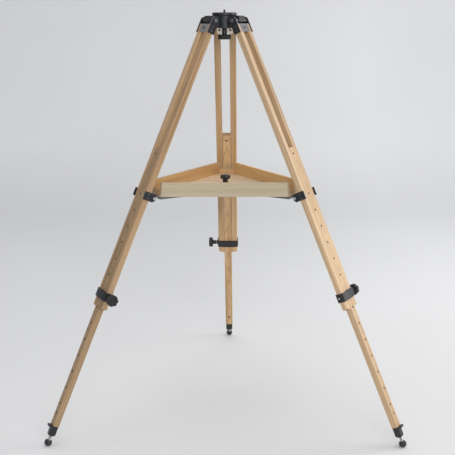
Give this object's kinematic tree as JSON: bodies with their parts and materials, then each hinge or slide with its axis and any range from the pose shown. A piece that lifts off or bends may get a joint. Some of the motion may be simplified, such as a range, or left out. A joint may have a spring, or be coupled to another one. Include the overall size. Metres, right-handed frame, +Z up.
{
  "type": "wooden field tripod",
  "caption": "Wooden field tripod with extending two-rail legs, knob clamps, ball feet, a triangular accessory tray on spreader arms and a round black head with a fixing stud.",
  "frame": {"origin": "the middle of the head's top face, at the foot of the fixing stud", "axes": "+Z up along the stud, +Y towards the rear leg, +X to the right as seen from the front"},
  "size_m": [1.0478, 0.9104, 1.2286],
  "materials": {
    "ash": "clear satin varnish over straight grain",
    "plywood": "clear satin varnish",
    "head_black": "satin black",
    "black_steel": "satin black",
    "dark_screws": "blackened",
    "bright_steel": "bright turned",
    "aluminium": "brushed",
    "black_plastic": "moulded",
    "rubber": "matt"
  },
  "bodies": {
    "head": {"head_plate": "head_black", "head_crown": "head_black", "hinge_bolts": "bright_steel", "hinge_nuts": "bright_steel", "hinge_bushes": "aluminium"},
    "mount_screw": {"mount_screw": "dark_screws", "mount_knob": "black_plastic"},
    "leg_rear": {"rear_rail_knob_side": "ash", "rear_rail_plain_side": "ash", "rear_head_block": "aluminium", "rear_hinge_plates": "black_steel", "rear_tray_bracket": "black_steel", "rear_tray_pin": "bright_steel", "rear_clamp_band": "black_steel", "rear_leg_screws": "dark_screws"},
    "extension_rear": {"rear_extension": "ash", "rear_foot_shoe": "black_steel", "rear_foot_stem": "bright_steel", "rear_rubber_foot": "rubber"},
    "clamp_knob_rear": {"rear_clamp_knob": "black_plastic"},
    "leg_left": {"left_rail_knob_side": "ash", "left_rail_plain_side": "ash", "left_head_block": "aluminium", "left_hinge_plates": "black_steel", "left_tray_bracket": "black_steel", "left_tray_pin": "bright_steel", "left_clamp_band": "black_steel", "left_leg_screws": "dark_screws"},
    "extension_left": {"left_extension": "ash", "left_foot_shoe": "black_steel", "left_foot_stem": "bright_steel", "left_rubber_foot": "rubber"},
    "clamp_knob_left": {"left_clamp_knob": "black_plastic"},
    "leg_right": {"right_rail_knob_side": "ash", "right_rail_plain_side": "ash", "right_head_block": "aluminium", "right_hinge_plates": "black_steel", "right_tray_bracket": "black_steel", "right_tray_pin": "bright_steel", "right_clamp_band": "black_steel", "right_leg_screws": "dark_screws"},
    "extension_right": {"right_extension": "ash", "right_foot_shoe": "black_steel", "right_foot_stem": "bright_steel", "right_rubber_foot": "rubber"},
    "clamp_knob_right": {"right_clamp_knob": "black_plastic"},
    "tray": {"tray_floor": "plywood", "tray_front_wall": "plywood", "tray_right_wall": "plywood", "tray_left_wall": "plywood", "tray_lips": "plywood", "spreader_hub": "aluminium", "arm_rivets": "bright_steel", "left_arm": "aluminium", "right_arm": "aluminium", "rear_arm": "aluminium"},
    "tray_knob": {"tray_knob": "black_plastic", "tray_bolt": "bright_steel"}
  },
  "joints": [
    {"name": "mount_screw_turn", "type": "hinge", "parent": "head", "child": "mount_screw", "pos_m": [0, 0, 0], "axis": [0, 0, 1], "continuous": true},
    {"name": "rear_leg_fold", "type": "hinge", "parent": "head", "child": "leg_rear", "pos_m": [0, 0.049, -0.023], "axis": [-1, 0, 0], "range_deg": [0, 15]},
    {"name": "rear_extension_slide", "type": "slide", "parent": "leg_rear", "child": "extension_rear", "axis": [0, 0.4163, -0.9092], "range_m": [-0.33, 0.38]},
    {"name": "rear_clamp_turn", "type": "hinge", "parent": "leg_rear", "child": "clamp_knob_rear", "pos_m": [0, 0.40117, -0.79221], "axis": [-1, 0, 0], "range_deg": [0, 720]},
    {"name": "left_leg_fold", "type": "hinge", "parent": "head", "child": "leg_left", "pos_m": [-0.04244, -0.0245, -0.023], "axis": [0.5, -0.866, 0], "range_deg": [0, 15]},
    {"name": "left_extension_slide", "type": "slide", "parent": "leg_left", "child": "extension_left", "axis": [-0.3605, -0.2081, -0.9092], "range_m": [-0.33, 0.38]},
    {"name": "left_clamp_turn", "type": "hinge", "parent": "leg_left", "child": "clamp_knob_left", "pos_m": [-0.34743, -0.20059, -0.79221], "axis": [0.5, -0.866, 0], "range_deg": [0, 720]},
    {"name": "right_leg_fold", "type": "hinge", "parent": "head", "child": "leg_right", "pos_m": [0.04244, -0.0245, -0.023], "axis": [0.5, 0.866, 0], "range_deg": [0, 15]},
    {"name": "right_extension_slide", "type": "slide", "parent": "leg_right", "child": "extension_right", "axis": [0.3605, -0.2081, -0.9092], "range_m": [-0.33, 0.38]},
    {"name": "right_clamp_turn", "type": "hinge", "parent": "leg_right", "child": "clamp_knob_right", "pos_m": [0.34743, -0.20059, -0.79221], "axis": [0.5, 0.866, 0], "range_deg": [0, 720]},
    {"name": "tray_fold", "type": "hinge", "parent": "leg_rear", "child": "tray", "pos_m": [0, 0.25175, -0.51749], "axis": [1, 0, 0], "range_deg": [0, 105]},
    {"name": "tray_knob_turn", "type": "hinge", "parent": "tray", "child": "tray_knob", "pos_m": [0, 0, -0.5], "axis": [0, 0, 1], "range_deg": [0, 720]}
  ],
  "couplings": [
    {"joint": "left_leg_fold", "follows": "rear_leg_fold", "ratio": 1},
    {"joint": "right_leg_fold", "follows": "rear_leg_fold", "ratio": 1},
    {"joint": "tray_fold", "follows": "rear_leg_fold", "ratio": 7}
  ]
}
